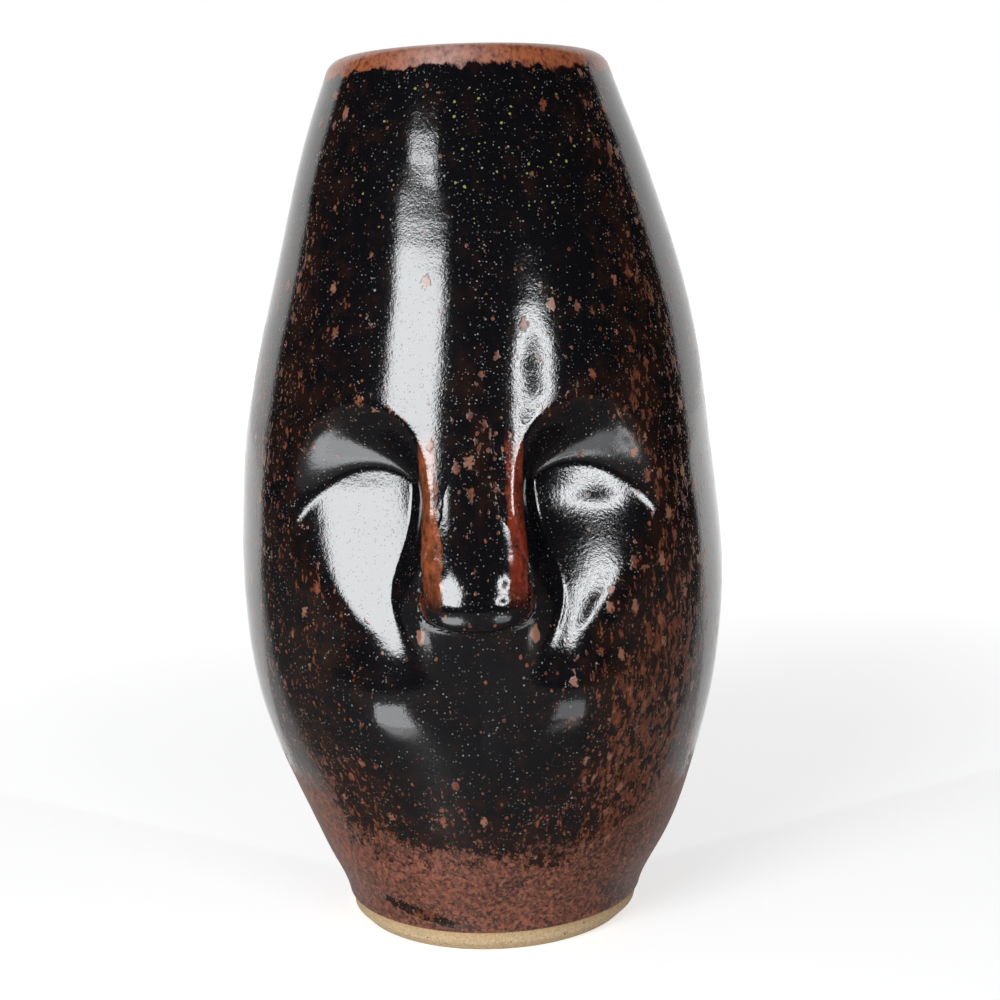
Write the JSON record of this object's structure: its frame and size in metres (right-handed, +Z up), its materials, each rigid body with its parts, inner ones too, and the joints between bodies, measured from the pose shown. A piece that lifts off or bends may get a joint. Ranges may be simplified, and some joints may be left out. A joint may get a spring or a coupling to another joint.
{
  "type": "face vase",
  "caption": "Tall ovoid stoneware vase with a stylised face pressed into its front, a long wedge nose, an open mouth and a bare foot, for cut flowers.",
  "frame": {"origin": "centre of the foot, on the surface that the vase stands on", "axes": "+Z up along the thrown axis; the face looks along -Y; +X to the right of someone who looks at the face"},
  "size_m": [0.1358, 0.1415, 0.2406],
  "materials": {
    "stoneware": "bare grogged buff stoneware, matt",
    "dark_glaze": "glossy near-black iron glaze that breaks to rust on edges",
    "liner_glaze": "glossy dark brown iron glaze"
  },
  "bodies": {
    "root": {"stoneware_body": "stoneware", "nose": "stoneware", "outer_glaze": "dark_glaze", "liner_glaze": "liner_glaze"}
  },
  "joints": []
}
